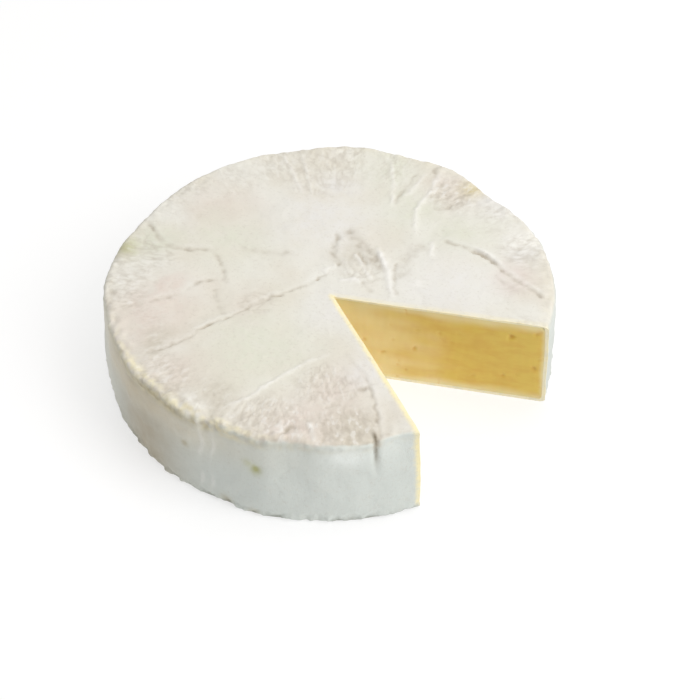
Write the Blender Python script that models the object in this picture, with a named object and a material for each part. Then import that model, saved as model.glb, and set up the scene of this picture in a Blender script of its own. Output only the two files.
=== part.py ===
# A round, flat wheel of soft ripened cheese with one wedge cut out of it, as a single closed solid.
# Origin at the middle of the base, on the resting surface. +Z up. The gap opens between +X and -Y.
import math

import bpy
import numpy as np
from mathutils import Vector, noise

for leftover in list(bpy.data.objects):
    bpy.data.objects.remove(leftover, do_unlink=True)

# driving sizes, in millimetres and degrees (azimuth counts from +X towards +Y)
mm = 0.001
wheelRadius = 90.0
wheelHeight = 41.0
topEdgeRadius = 2.4
baseEdgeRadius = 1.9
sideSwell = 0.35
apexX, apexY = 1.9, -6.2
backWallAzimuth = -12.8
frontWallAzimuth = -67.1
cutReach = 150.0
cutOverrun = 12.0
spokes = 432
topRings = 76
edgeRings = 6
sideRings = 18
baseRings = 4
uncutTriangles = 12700

# outline of the upper rim: azimuth, half width in degrees, push outwards in millimetres
rimPushes = (
    (-4.0, 10.0, 0.9), (16.0, 12.0, 1.1), (39.5, 6.0, -1.6), (55.0, 6.0, 2.0), (82.0, 20.0, 2.0),
    (90.0, 65.0, -1.6), (107.0, 5.0, 0.3), (149.0, 12.0, -1.9), (180.0, 5.0, 0.8), (191.0, 6.0, -0.5),
    (203.0, 4.0, -0.5), (212.0, 4.0, 1.1), (232.0, 4.0, 0.9), (242.0, 6.0, -1.1), (253.2, 4.0, 0.5),
    (260.4, 4.5, -1.2),
)
# outline of the foot
footPushes = (
    (0.0, 14.0, 0.6), (39.5, 7.0, -1.0), (55.0, 6.0, 0.6), (80.0, 20.0, 0.2), (149.0, 12.0, -1.6),
    (181.0, 6.0, 0.8), (210.0, 7.0, -0.6), (252.0, 6.0, 1.6), (258.0, 5.0, 0.6), (274.0, 14.0, 1.4),
)
# the rim sags beside the front wall of the cut, where the wedge was pulled away
slumpAzimuth, slumpWidth, slumpDepth = -72.3, 5.5, 3.0

# folds that the wrapping paper pressed into the top: points across it in millimetres, then the
# groove's half width and depth, and the height of the lip on its left as the points run
folds = {
    "longLeft": (((-74, -39.6), (-63, -34.6), (-49, -23.6), (-39, -17.6), (-28, -9.6), (-8, 1.4),
                 (1, 10.4)), 1.2, 0.60, 0.18),
    "backLeft": (((-78, 45.4), (-71, 34.4), (-67, 27.4), (-60, 23.4), (-46, 22.4)), 1.3, 0.55, 0.15),
    "backLeftInner": (((-40, 25.4), (-28, 21.4), (-14, 19.4)), 1.7, 0.35, 0.0),
    "cross": (((-47, 22.4), (-44, 15.4), (-42, 7.4), (-41, 1.4)), 1.4, 0.42, 0.0),
    "crossLow": (((-45, -0.6), (-45, -7.6), (-41, -17.6)), 1.6, 0.30, -0.12),
    "leftPanel": (((-76, -10.6), (-66, -6.6), (-59, -3.6), (-53, 3.4), (-44, 4.4)), 1.2, 0.48, 0.12),
    "right": (((46, 27.4), (52, 24.4), (60, 20.4), (65, 15.4), (71, 7.4), (76, 1.4),
              (86, -9.6)), 1.2, 0.68, 0.26),
    "rightBelow": (((66, 6.4), (72, -0.6), (79, -6.6)), 1.2, 0.32, 0.10),
    "crownLeft": (((5, 33.4), (3, 26.4), (2, 19.4), (5, 11.4)), 1.4, 0.50, 0.15),
    "crownRight": (((8, 36.4), (9, 32.4), (12, 27.4), (17, 18.4), (20, 12.4), (22, 7.4)), 1.8, 0.55, 0.12),
    "crownMiddle": (((12, 21.4), (14, 15.4), (16, 7.4)), 1.1, 0.38, 0.10),
    "brightRight": (((27, 14.4), (26.5, 4.4), (27, -6.6)), 1.1, 0.45, 0.0),
    "middleRight": (((40, 24.4), (33, 19.4), (30, 12.4), (29, 3.4)), 2.6, 0.40, 0.0),
    "frontRight": (((6, -39.6), (14, -54.6), (17, -68.6), (18, -79.6), (18.5, -93.6)), 1.3, 0.52, 0.16),
    "frontCrack": (((17.4, -77.6), (18.2, -84.6), (18.6, -97.6)), 1.2, 0.65, 0.20),
    "frontFold": (((-2, -70.6), (8, -62.6), (18, -54.6)), 1.3, 0.40, 0.12),
    "frontRim": (((-23, -89.6), (-19, -84.6), (-14, -78.6)), 1.2, 0.60, 0.20),
    "leftRim": (((-69, -50.6), (-58, -63.6), (-46, -75.6)), 1.8, 0.36, -0.22),
    "backTwin": (((38, 71.4), (31, 59.4), (27, 50.4)), 1.3, 0.28, 0.0),
}
# ridges where the rind puffed up between two folds of the paper
ridges = {
    "backRight": (((49, 74.4), (42, 58.4), (39, 52.4), (36, 43.4), (35, 28.4)), 1.3, 0.58),
    "backRightTwin": (((42, 72.4), (35, 59.4), (31, 54.4)), 1.2, 0.38),
    "bright": (((19, 24.4), (22, 15.4), (24, 4.4), (25, -8.6)), 1.4, 0.80),
    "inner": (((10, 20.4), (12, 16.4), (15, 9.4), (17, 2.4)), 1.2, 0.45),
    "knot": (((3, 3.4), (8, 3.4), (13, 2.4)), 1.4, 0.48),
    "knotLeft": (((-3, 8.4), (0, 10.4), (3, 13.4)), 1.3, 0.42),
    "innerRight": (((42, 27.4), (42, 16.4)), 1.3, 0.48),
    "besideRight": (((36, 3.4), (34, -1.6)), 2.6, 0.38),
    "crease": (((-45, -70.6), (-34, -65.6), (-23, -55.6), (-11, -45.6), (3, -38.6)), 1.2, 0.46),
    "backFirst": (((-19, 84.4), (-16, 75.4), (-10, 55.4)), 1.2, 0.36),
    "backSecond": (((-12, 85.4), (-9, 71.4), (-7, 54.4)), 1.2, 0.32),
    "backThird": (((26, 82.4), (27, 64.4), (26, 48.4)), 1.2, 0.36),
    "frontWhite": (((-8, -76.6), (-6, -88.6)), 1.3, 0.50),
}
# patches that the wrapping paper creped: middle, reach, direction of the creases, height
crepes = (
    ((-24.0, -79.6), 22.0, 78.0, 0.46),
    ((4.0, -81.6), 16.0, 92.0, 0.46),
    ((-2.0, -57.6), 16.0, 62.0, 0.34),
    ((-4.0, 76.4), 26.0, 92.0, 0.38),
    ((52.0, 56.4), 13.0, 40.0, 0.50),
    ((80.0, 20.4), 14.0, 20.0, 0.30),
    ((-76.0, 20.4), 18.0, 160.0, 0.36),
    ((-66.0, -53.6), 16.0, 220.0, 0.36),
    ((14.0, 10.4), 13.0, 110.0, 0.28),
)
crepePitch = 4.2


def swell(offset, width):
    return np.exp(-(offset / width) ** 2)


def turnGap(azimuth, centre):
    return (azimuth - centre + 180.0) % 360.0 - 180.0


def ramp(value, low, high):
    part = np.clip((value - low) / (high - low), 0.0, 1.0)
    return part * part * (3.0 - 2.0 * part)


def roughness(points, scale, seed):
    shift = Vector((seed * 7.3, seed * 3.1, seed * 5.7))
    return np.array([noise.noise(Vector(point) / scale + shift) for point in points])


def curve(points, steps=8):
    # a smooth line through the given points
    ring = [np.array(points[0], float)] + [np.array(p, float) for p in points] + [np.array(points[-1], float)]
    line = []
    for a, b, c, d in zip(ring, ring[1:], ring[2:], ring[3:]):
        for step in range(steps):
            t = step / steps
            line.append(0.5 * (2 * b + (c - a) * t + (2 * a - 5 * b + 4 * c - d) * t * t
                               + (3 * b - a - 3 * c + d) * t ** 3))
    line.append(ring[-1])
    return line


def alongCurve(x, y, line):
    # distance to the line, signed positive on its left, and how far along it the nearest point is
    best = np.full(x.shape, 1e9)
    signed = np.zeros(x.shape)
    along = np.zeros(x.shape)
    for index, (a, b) in enumerate(zip(line, line[1:])):
        dx, dy = b - a
        part = np.clip(((x - a[0]) * dx + (y - a[1]) * dy) / (dx * dx + dy * dy), 0.0, 1.0)
        gapX, gapY = x - a[0] - part * dx, y - a[1] - part * dy
        gap = np.hypot(gapX, gapY)
        closer = gap < best
        best = np.where(closer, gap, best)
        signed = np.where(closer, gap * np.sign(dx * gapY - dy * gapX), signed)
        along = np.where(closer, (index + part) / (len(line) - 1), along)
    return signed, along


def pillowed(points, scale, seed):
    # rounded little pillows, 1 at most, between sharp creases at 0
    return np.minimum(np.abs(roughness(points, scale, seed)) * 3.0, 1.0)


def topRelief(x, y):
    # rise of the upper face above the plain disc
    flat = np.column_stack((x, y, np.zeros_like(x)))
    wander = roughness(flat, 9.0, 1) * 2.0
    wanderAcross = roughness(flat, 9.0, 2) * 2.0
    rise = roughness(flat, 8.0, 4) * 0.28 + roughness(flat, 3.6, 10) * 0.12
    beads = np.clip(0.85 + 0.9 * roughness(flat, 3.2, 5), 0.4, 1.5)
    for points, width, depth, lip in folds.values():
        signed, along = alongCurve(x + wander * 0.4, y + wanderAcross * 0.4, curve(points))
        ends = ramp(along, 0.0, 0.12) * ramp(1.0 - along, 0.0, 0.12)
        rise = rise - depth * ends * beads * swell(signed, width)
        rise = rise + lip * ends * beads * swell(signed - 2.2 * width, 1.5 * width)
    for points, width, height in ridges.values():
        signed, along = alongCurve(x + wander * 0.3, y + wanderAcross * 0.3, curve(points))
        ends = ramp(along, 0.0, 0.2) * ramp(1.0 - along, 0.0, 0.2)
        rise = rise + height * ends * beads * swell(signed, width)
    # creping: creases drawn out along each patch's own direction, and outwards all round the rim
    for index, ((midX, midY), reach, turn, height) in enumerate(crepes):
        aside, ahead = math.sin(math.radians(turn)), math.cos(math.radians(turn))
        across = (x - midX) * aside - (y - midY) * ahead
        along = (x - midX) * ahead + (y - midY) * aside
        inside = 1.0 - ramp(np.hypot(x - midX, y - midY) + 1.6 * wander, 0.45 * reach, reach)
        seat = np.column_stack((across + 0.5 * wander, along * 0.45, np.full_like(x, 9.0 * index)))
        rise = rise + inside * height * (0.8 * pillowed(seat, crepePitch, 12) - 0.76)
    fromMiddle = np.hypot(x, y)
    azimuth = np.arctan2(y, x)
    smoothPanel = ramp(x, 14.0, 20.0) * ramp(-y, 40.0, 55.0)
    ring = ramp(fromMiddle, 62.0, 82.0) * np.clip(0.55 + 1.5 * roughness(flat, 15.0, 13), 0.1, 1.0)
    seat = np.column_stack((np.cos(azimuth) * 88.0, np.sin(azimuth) * 88.0, fromMiddle * 0.4))
    rise = rise + ring * (1.0 - smoothPanel) * 0.26 * (pillowed(seat, 0.9 * crepePitch, 14) - 0.8)
    return roughness(flat, 34.0, 3) * 0.9 + np.maximum(rise, -0.75)


def sideRelief(azimuth, z, points):
    # push of the side and the rounded edges beyond the plain wheel
    deep = sideSwell * np.sin(np.pi * np.clip(z / wheelHeight, 0.0, 1.0)) + roughness(points, 22.0, 6) * 0.6
    # the nick in the rim, the crack over the front of it and the bites out of the foot
    deep = deep - 1.0 * swell(turnGap(azimuth, 237.6), 1.4) * swell(z - 38.0, 3.2)
    deep = deep - 1.2 * swell(turnGap(azimuth, 282.0), 1.2) * ramp(z, 20.0, 33.0)
    for centre in (243.6, 251.0):
        deep = deep - 0.9 * swell(turnGap(azimuth, centre), 2.0) * swell(z - 0.8, 2.8)
    push = roughness(points, 6.5, 7) * 0.38
    smoothRim = swell(turnGap(azimuth, 290.0), 9.0)
    rim = swell(z - (wheelHeight - 1.2), 2.2) * (1.0 - 0.8 * smoothRim)
    beading = 0.35 + 0.65 * ramp(swell(turnGap(azimuth, 224.0), 30.0), 0.2, 0.8)
    push = push + rim * beading * roughness(points, 3.4, 8) * 1.2
    # the rind draws in a little under the crumbs of the rim
    push = push - 0.45 * swell(z - (wheelHeight - 4.4), 1.5) * beading
    foot = swell(z - 1.5, 2.6)
    push = push + foot * roughness(points, 4.6, 9) * 1.0
    # the two upright lines where the paper's edges met, and a small pit in the side
    seam = swell(turnGap(azimuth, 236.2), 0.7) + swell(turnGap(azimuth, 239.4), 0.6)
    push = push + 0.38 * seam * ramp(z, 3.0, 9.0)
    push = push - 0.6 * swell(turnGap(azimuth, 252.5), 2.1) * swell(z - 21.0, 2.3)
    return deep + np.maximum(push, -0.75)


def wheelPoints():
    # rings of the plain wheel from the middle of the top, out over the edge and back under the base
    profile = []
    flatReach = wheelRadius - topEdgeRadius
    for ring in range(1, topRings + 1):
        profile.append((flatReach * ring / topRings, wheelHeight, 0.0))
    for ring in range(1, edgeRings + 1):
        turn = 0.5 * math.pi * ring / edgeRings
        profile.append((flatReach + topEdgeRadius * math.sin(turn),
                        wheelHeight - topEdgeRadius * (1.0 - math.cos(turn)), turn))
    sideTop, sideFoot = wheelHeight - topEdgeRadius, baseEdgeRadius
    for ring in range(1, sideRings + 1):
        profile.append((wheelRadius, sideTop + (sideFoot - sideTop) * ring / sideRings, 0.5 * math.pi))
    for ring in range(1, 4):
        turn = 0.5 * math.pi * ring / 3
        profile.append((wheelRadius - baseEdgeRadius * (1.0 - math.cos(turn)),
                        baseEdgeRadius * (1.0 - math.sin(turn)), 0.5 * math.pi))
    for ring in range(1, baseRings):
        profile.append(((wheelRadius - baseEdgeRadius) * (1.0 - ring / baseRings), 0.0, math.pi))
    reach = np.repeat([entry[0] for entry in profile], spokes)
    z = np.repeat([entry[1] for entry in profile], spokes)
    lean = np.repeat([entry[2] for entry in profile], spokes)
    azimuth = np.tile(np.arange(spokes) * 360.0 / spokes, len(profile))
    # the two middles close the top and the base
    reach, z = np.append(reach, [0.0, 0.0]), np.append(z, [wheelHeight, 0.0])
    lean, azimuth = np.append(lean, [0.0, math.pi]), np.append(azimuth, [0.0, 0.0])

    upper, foot = np.zeros_like(z), np.zeros_like(z)
    for centre, width, push in rimPushes:
        upper = upper + push * swell(turnGap(azimuth, centre), width)
    for centre, width, push in footPushes:
        foot = foot + push * swell(turnGap(azimuth, centre), width)
    blend = ramp(z, 6.0, 30.0)
    outline = foot + (upper - foot) * blend
    slump = slumpDepth * swell(turnGap(azimuth, slumpAzimuth), slumpWidth) * ramp(z, 22.0, 37.0)
    # outline pushes fade towards the middle, so the face stays undisturbed
    stretch = ramp(reach, 0.55 * wheelRadius, wheelRadius)
    plan = reach + (outline - slump) * stretch
    turn = np.radians(azimuth)
    x, y = plan * np.cos(turn), plan * np.sin(turn)

    points = np.column_stack((x, y, z))
    outward = np.sin(np.clip(lean, 0.0, 0.5 * math.pi)) * ramp(z, 0.0, 1.0) * (lean < 3.0)
    upward = np.where(lean < 1.6, np.cos(np.minimum(lean, 0.5 * math.pi)), 0.0)
    edgeFade = 1.0 - 0.45 * ramp(reach, 0.9 * wheelRadius, wheelRadius)
    side = sideRelief(azimuth, z, points) * outward
    x = x + side * np.cos(turn)
    y = y + side * np.sin(turn)
    rim = swell(reach - wheelRadius + 2.5, 3.5) * roughness(points, 3.4, 8)
    z = z + upward * (topRelief(x, y) * edgeFade + 0.7 * rim) \
        - 0.35 * slump * upward * ramp(reach, 0.8 * wheelRadius, wheelRadius)
    return np.column_stack((x, y, z)), len(profile)


def wheelFaces(rings):
    faces = []
    topMiddle, baseMiddle = rings * spokes, rings * spokes + 1
    for spoke in range(spokes):
        following = (spoke + 1) % spokes
        faces.append((topMiddle, spoke, following))
        for ring in range(rings - 1):
            near, far = ring * spokes, (ring + 1) * spokes
            faces.append((near + spoke, far + spoke, far + following, near + following))
        last = (rings - 1) * spokes
        faces.append((baseMiddle, last + following, last + spoke))
    return faces


def makeMaterial(name, color, rough):
    material = bpy.data.materials.new(name)
    material.use_nodes = True
    shader = material.node_tree.nodes["Principled BSDF"]
    shader.inputs["Base Color"].default_value = (*color, 1.0)
    shader.inputs["Roughness"].default_value = rough
    return material


# the wheel, centred by its own outline
points, rings = wheelPoints()
middle = 0.5 * (points.min(axis=0) + points.max(axis=0))
centring = np.array((middle[0], middle[1], points[:, 2].min()))
mesh = bpy.data.meshes.new("brie_wheel")
mesh.from_pydata(((points - centring) * mm).tolist(), [], wheelFaces(rings))
wheel = bpy.data.objects.new("brie_wheel", mesh)
bpy.context.collection.objects.link(wheel)
mesh.materials.append(makeMaterial("rind", (0.80, 0.76, 0.68), 0.85))
mesh.shade_smooth()

# the prism that takes the wedge out
corners = [(apexX, apexY)]
for azimuth in (frontWallAzimuth, backWallAzimuth):
    turn = math.radians(azimuth)
    corners.append((apexX + cutReach * math.cos(turn), apexY + cutReach * math.sin(turn)))
prism = [((x - centring[0]) * mm, (y - centring[1]) * mm, z * mm)
         for z in (-cutOverrun, wheelHeight + cutOverrun) for x, y in corners]
cutMesh = bpy.data.meshes.new("wedge_cutter")
cutMesh.from_pydata(prism, [], [(2, 1, 0), (3, 4, 5), (0, 1, 4, 3), (1, 2, 5, 4), (2, 0, 3, 5)])
cutter = bpy.data.objects.new("wedge_cutter", cutMesh)
bpy.context.collection.objects.link(cutter)
cutter.hide_render = True
cutter.display_type = "WIRE"

# plain stretches need few faces, so the wheel is thinned before it is cut
thin = wheel.modifiers.new("thin", "DECIMATE")
thin.decimate_type = "COLLAPSE"
thin.use_collapse_triangulate = True
thin.ratio = uncutTriangles / sum(len(polygon.vertices) - 2 for polygon in mesh.polygons)
cut = wheel.modifiers.new("wedge", "BOOLEAN")
cut.operation = "DIFFERENCE"
cut.solver = "EXACT"
cut.object = cutter
# slivers along the cut close up
weld = wheel.modifiers.new("slivers", "WELD")
weld.merge_threshold = 0.02 * mm
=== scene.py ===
import math

import bmesh
import bpy
import numpy as np
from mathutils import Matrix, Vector, noise


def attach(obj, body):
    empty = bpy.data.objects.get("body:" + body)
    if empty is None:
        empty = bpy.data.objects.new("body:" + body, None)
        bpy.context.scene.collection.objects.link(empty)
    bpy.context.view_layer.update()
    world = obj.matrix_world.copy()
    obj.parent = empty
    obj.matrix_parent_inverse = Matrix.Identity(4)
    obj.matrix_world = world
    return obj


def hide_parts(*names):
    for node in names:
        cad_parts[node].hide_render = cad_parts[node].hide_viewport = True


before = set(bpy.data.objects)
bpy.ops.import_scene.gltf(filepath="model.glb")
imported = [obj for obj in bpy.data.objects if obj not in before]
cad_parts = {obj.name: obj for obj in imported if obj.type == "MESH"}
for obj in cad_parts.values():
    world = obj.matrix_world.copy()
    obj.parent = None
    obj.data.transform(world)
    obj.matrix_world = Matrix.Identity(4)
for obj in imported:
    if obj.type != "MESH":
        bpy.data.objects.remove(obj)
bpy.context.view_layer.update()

# lengths below are in millimetres and angles in degrees, and become metres where a mesh is written
mm = 0.001
# points within near of a plane or an axis lie on it, and so do turns within nearTurn, in radians
near, nearTurn = 0.01, 0.001
# corners within mergeGap, in metres, become one, and edges flatter than smoothAngle are shaded smooth
mergeGap, smoothAngle = 0.000001, math.radians(50.0)

# the wheel as it stands: a flat round with a wedge cut out towards +X and -Y
wheel = {
    "radius": 90.0,
    "height": 41.0,
    "perDegree": 1.57,        # length of one degree along the side
    "topEdge": 2.3,           # rounding of the rim
    "baseEdge": 1.9,          # rounding of the foot
    "swell": 0.35,            # how far the side stands out at half height
    "stillPart": 0.55,        # share of the radius that the pushes of the outline leave alone
    "sinking": 0.35,          # how far the top goes down beside the sag, for each millimetre of it
    "deepest": 0.75,          # how far in the relief may go, less than the rind's thickness
    "apex": (1.9, -6.2),      # the point of the cut
    "backWall": -12.8,        # azimuth of the cut's back wall
    "around": 305.7,          # what is left of the full turn, counted from the back wall
    "middle": (-0.103, -0.4666),  # middle of the outline, which comes to lie on the origin
    # azimuth, half width and outward push of the bumps and dents in the upper rim
    "rimPushes": (
        (-4.0, 10.0, 0.9), (16.0, 12.0, 1.1), (39.5, 6.0, -1.6), (55.0, 6.0, 2.0),
        (82.0, 20.0, 2.0), (90.0, 65.0, -1.6), (107.0, 5.0, 0.3), (149.0, 12.0, -1.9),
        (180.0, 5.0, 0.8), (191.0, 6.0, -0.5), (203.0, 4.0, -0.5), (212.0, 4.0, 1.1),
        (232.0, 4.0, 0.9), (242.0, 6.0, -1.1), (253.2, 4.0, 0.5), (260.4, 4.5, -1.2),
    ),
    # and in the foot
    "footPushes": (
        (0.0, 14.0, 0.6), (39.5, 7.0, -1.0), (55.0, 6.0, 0.6), (80.0, 20.0, 0.2),
        (149.0, 12.0, -1.6), (181.0, 6.0, 0.8), (210.0, 7.0, -0.6), (252.0, 6.0, 1.6),
        (258.0, 5.0, 0.6), (274.0, 14.0, 1.4),
    ),
    # azimuth, half width and depth of the sag of the rim, where the wedge was pulled away
    "slump": (-72.3, 5.5, 3.0),
}

# small marks of the side: azimuth, height above the board and reach, or an azimuth alone
marks = {
    "rimNick": 237.6,
    "crack": 281.3,           # runs from the rim down the side
    "bites": (243.6, 251.0),  # out of the foot
    "beadedRim": 224.0,       # middle of the stretch where the rim is crumbly and creamy
    "smoothRim": 290.0,
    "dimple": (251.2, 24.6, 1.8, 2.4),  # half width in degrees, half height
    "nicks": ((243.6, 3.0, 2.6), (251.0, 1.0, 2.4), (237.9, 37.0, 2.0), (232.0, 24.7, 1.7)),
    "notch": (243.6, 1.5, 1.6),
    "pit": (251.6, 24.2, 2.2),
    "pitBeside": (249.4, 26.4, 2.0),
    # upright lines where the wrapping's edges met: azimuth, half width in degrees and strength
    "seams": ((236.4, 0.6, 1.0), (239.4, 0.5, 0.8), (31.0, 0.6, 0.5), (97.0, 0.6, 0.6),
              (101.5, 0.5, 0.4), (152.0, 0.7, 0.5)),
    # places on the top's edge: x, y and reach
    "moss": (-82.5, 24.9, 5.0),
    "ochre": (59.5, 60.4, 5.0),
}

# folds that the wrapping pressed into the top: points along each, half width and depth of its
# groove, and height of the lip on its left
folds = {
    "longLeft": (((-74, -39.6), (-63, -34.6), (-55, -29.6), (-49, -23.6), (-39, -17.6), (-28, -9.6),
                  (-19, -4.6), (-8, 1.4), (1, 10.4)), 0.75, 0.55, 0.16),
    "backLeft": (((-78, 45.4), (-71, 34.4), (-67, 27.4), (-60, 23.4), (-46, 22.4)), 0.9, 0.42, 0.10),
    "backLeftInner": (((-40, 25.4), (-28, 21.4), (-14, 19.4)), 1.5, 0.32, 0.0),
    "cross": (((-47, 22.4), (-44, 15.4), (-42, 7.4), (-41, 1.4)), 1.2, 0.32, 0.0),
    "crossLow": (((-45, -0.6), (-45, -7.6), (-41, -17.6)), 1.4, 0.26, -0.12),
    "leftPanel": (((-76, -10.6), (-66, -6.6), (-59, -3.6), (-55, 0.4), (-53, 3.4),
                  (-44, 4.4)), 0.8, 0.38, 0.08),
    "right": (((46, 27.4), (52, 24.4), (60, 20.4), (65, 15.4)), 0.9, 0.36, 0.10),
    "rightDeep": (((56, 22.4), (65, 15.4), (71, 7.4), (76, 1.4), (86, -9.6)), 0.9, 0.85, 0.30),
    "rightBelow": (((66, 6.4), (72, -0.6), (79, -6.6)), 0.9, 0.30, 0.10),
    "crownLeft": (((5, 33.4), (3, 26.4), (2, 19.4), (5, 11.4)), 1.3, 0.45, 0.12),
    "crownRight": (((8, 36.4), (9, 32.4), (12, 27.4), (17, 18.4), (20, 12.4), (22, 7.4)),
                   2.3, 0.38, 0.10),
    "crownMiddle": (((12, 21.4), (14, 15.4), (16, 7.4)), 0.8, 0.36, 0.10),
    "crownLow": (((5, 6.4), (10, 5.4), (14, 0.4), (18, -5.6)), 0.9, 0.28, 0.10),
    "brightRight": (((27, 14.4), (26.5, 4.4), (27, -6.6)), 0.8, 0.42, 0.0),
    "middleRight": (((40, 24.4), (33, 19.4), (30, 12.4), (29, 3.4)), 2.6, 0.22, 0.0),
    "frontRight": (((6, -39.6), (14, -54.6), (17, -68.6), (18, -79.6), (18.5, -93.6)),
                   0.9, 0.45, 0.14),
    "frontCrack": (((17.0, -77.6), (17.6, -84.6), (17.6, -97.6)), 0.9, 0.42, 0.16),
    "frontRimCrease": (((6, -88.6), (14, -88.0), (20, -86.6)), 0.7, 0.40, 0.0),
    "frontRimDip": (((19, -84.5), (26, -82.6), (34, -79.6)), 1.2, 0.34, 0.0),
    "frontFold": (((-2, -70.6), (8, -62.6), (18, -54.6)), 0.9, 0.36, 0.10),
    "frontRim": (((-23, -89.6), (-19, -84.6), (-14, -78.6)), 0.9, 0.60, 0.20),
    "leftRim": (((-69, -50.6), (-58, -63.6), (-46, -75.6)), 1.4, 0.30, -0.20),
    "backRim": (((49, 78.4), (44, 70.4)), 1.1, 0.50, 0.0),
    "backTwin": (((38, 71.4), (31, 59.4), (27, 50.4)), 1.0, 0.25, 0.0),
    "knuckle": (((56.2, 59.5), (56.0, 55.0), (53.5, 52.0), (50.0, 48.8), (46.0, 47.0), (43.0, 49.3)),
                1.1, 0.32, 0.0),
    "knuckleInner": (((48.2, 62.0), (49.0, 56.4)), 1.2, 0.26, 0.0),
}
# ridges that puffed up between two folds: points along each, half width and height
ridges = {
    "backRight": (((49, 74.4), (42, 58.4), (39, 52.4), (36, 43.4), (35, 28.4)), 1.1, 0.55),
    "backRightTwin": (((42, 72.4), (35, 59.4), (31, 54.4)), 1.0, 0.35),
    "bright": (((19, 24.4), (22, 15.4), (24, 4.4), (25, -8.6)), 1.2, 0.75),
    "inner": (((10, 20.4), (12, 16.4), (15, 9.4), (17, 2.4)), 0.9, 0.45),
    "knot": (((3, 3.4), (8, 3.4), (13, 2.4)), 1.1, 0.45),
    "knotLeft": (((-3, 8.4), (0, 10.4), (3, 13.4)), 1.0, 0.40),
    "innerRight": (((42, 27.4), (42, 16.4)), 1.0, 0.45),
    "besideRight": (((36, 3.4), (34, -1.6)), 2.6, 0.35),
    "crease": (((-45, -70.6), (-34, -65.6), (-23, -55.6), (-11, -45.6), (3, -38.6)), 0.9, 0.42),
    "backFirst": (((-19, 84.4), (-16, 75.4), (-10, 55.4)), 0.9, 0.35),
    "backSecond": (((-12, 85.4), (-9, 71.4), (-7, 54.4)), 0.9, 0.30),
    "backThird": (((26, 82.4), (27, 64.4), (26, 48.4)), 0.9, 0.35),
    "frontWhite": (((-8, -76.6), (-6, -88.6)), 1.1, 0.50),
    "frontWhiteTwin": (((-13, -79.6), (-12, -87.6)), 0.8, 0.25),
}
# patches that the wrapping creped: middle, reach, direction of the creases, height
crepes = (
    ((-24.0, -79.6), 22.0, 78.0, 0.40),
    ((4.0, -81.6), 16.0, 92.0, 0.40),
    ((-2.0, -57.6), 16.0, 62.0, 0.26),
    ((-4.0, 76.4), 26.0, 92.0, 0.18),
    ((52.0, 56.4), 13.0, 40.0, 0.50),
    ((80.0, 20.4), 14.0, 20.0, 0.24),
    ((-76.0, 20.4), 18.0, 160.0, 0.25),
    ((-66.0, -53.6), 16.0, 220.0, 0.30),
    ((14.0, 10.4), 13.0, 110.0, 0.24),
    ((-28.0, -9.6), 9.0, 30.0, 0.22),
)
# slow changes of colour over the top: middle and reach of each patch
tints = {
    "blush": (
        (-68.0, -19.6, 24.0), (-42.0, 43.4, 15.0), (-10.0, -79.6, 24.0), (74.0, 4.4, 9.0),
        (50.0, 58.4, 12.0), (0.0, -59.6, 15.0), (-58.0, -45.6, 16.0), (-34.0, -13.6, 9.0),
        (-7.6, -76.2, 9.0), (-64.0, 0.0, 8.0), (-68.0, -50.0, 9.0), (6.0, -76.0, 8.0),
    ),
    "greenish": (
        (-28.0, -35.6, 26.0), (-38.0, 30.4, 17.0), (36.0, 48.4, 15.0), (28.0, 76.4, 14.0),
        (-70.0, 28.4, 12.0), (56.0, 32.4, 14.0),
    ),
    "cool": (
        (2.0, 62.0, 9.0), (-4.0, 40.4, 20.0), (50.0, 0.4, 18.0), (2.0, -15.6, 13.0),
        (66.0, 53.4, 12.0), (84.0, 24.4, 12.0), (22.0, -49.6, 12.0),
    ),
    "shade": (
        (9.0, 17.0, 8.0), (10.0, -82.0, 11.0), (-48.0, -66.0, 10.0), (-66.0, -34.0, 8.0),
        (-17.0, 82.0, 5.0),
    ),
    "pale": (
        (3.0, 82.5, 4.0), (82.5, 27.5, 5.0), (-55.0, -67.0, 6.0),
    ),
}


def hump(offset, width):
    # 1 in the middle, fading out at about twice the width
    return np.exp(-(offset / width) ** 2)


def turnGap(azimuth, centre):
    # how far one azimuth lies past another, from minus to plus half a turn
    return (azimuth - centre + 180.0) % 360.0 - 180.0


def ramp(value, low, high):
    # 0 at low and 1 at high, easing in and out
    part = np.clip((value - low) / (high - low), 0.0, 1.0)
    return part * part * (3.0 - 2.0 * part)


def roughness(points, scale, seed):
    # smooth noise from about -1 to 1, with bumps of the given size
    shift = Vector((seed * 7.3, seed * 3.1, seed * 5.7))
    return np.array([noise.noise(Vector(point) / scale + shift) for point in points])


def curveThrough(points, steps=8):
    # a smooth line through the points, with its two ends counted twice
    spots = [np.array(point, float) for point in points]
    spots = spots[:1] + spots + spots[-1:]
    line = []
    for a, b, c, d in zip(spots, spots[1:], spots[2:], spots[3:]):
        for step in range(steps):
            t = step / steps
            line.append(0.5 * (2 * b + (c - a) * t + (2 * a - 5 * b + 4 * c - d) * t * t
                               + (3 * b - a - 3 * c + d) * t ** 3))
    line.append(spots[-1])
    return line


def besideCurve(x, y, line):
    # distance from the line, positive on its left, and how far along it the nearest point lies
    best = np.full(x.shape, 1e9)
    signed = np.zeros(x.shape)
    along = np.zeros(x.shape)
    for index, (a, b) in enumerate(zip(line, line[1:])):
        dx, dy = b - a
        part = np.clip(((x - a[0]) * dx + (y - a[1]) * dy) / (dx * dx + dy * dy), 0.0, 1.0)
        gapX, gapY = x - a[0] - part * dx, y - a[1] - part * dy
        gap = np.hypot(gapX, gapY)
        closer = gap < best
        best = np.where(closer, gap, best)
        signed = np.where(closer, gap * np.sign(dx * gapY - dy * gapX), signed)
        along = np.where(closer, (index + part) / (len(line) - 1), along)
    return signed, along


def sideSpot(azimuth, z, middle, level, reach):
    # a round mark on the side, 1 in its middle
    return hump(np.hypot(turnGap(azimuth, middle) * wheel["perDegree"], z - level), reach)


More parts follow.
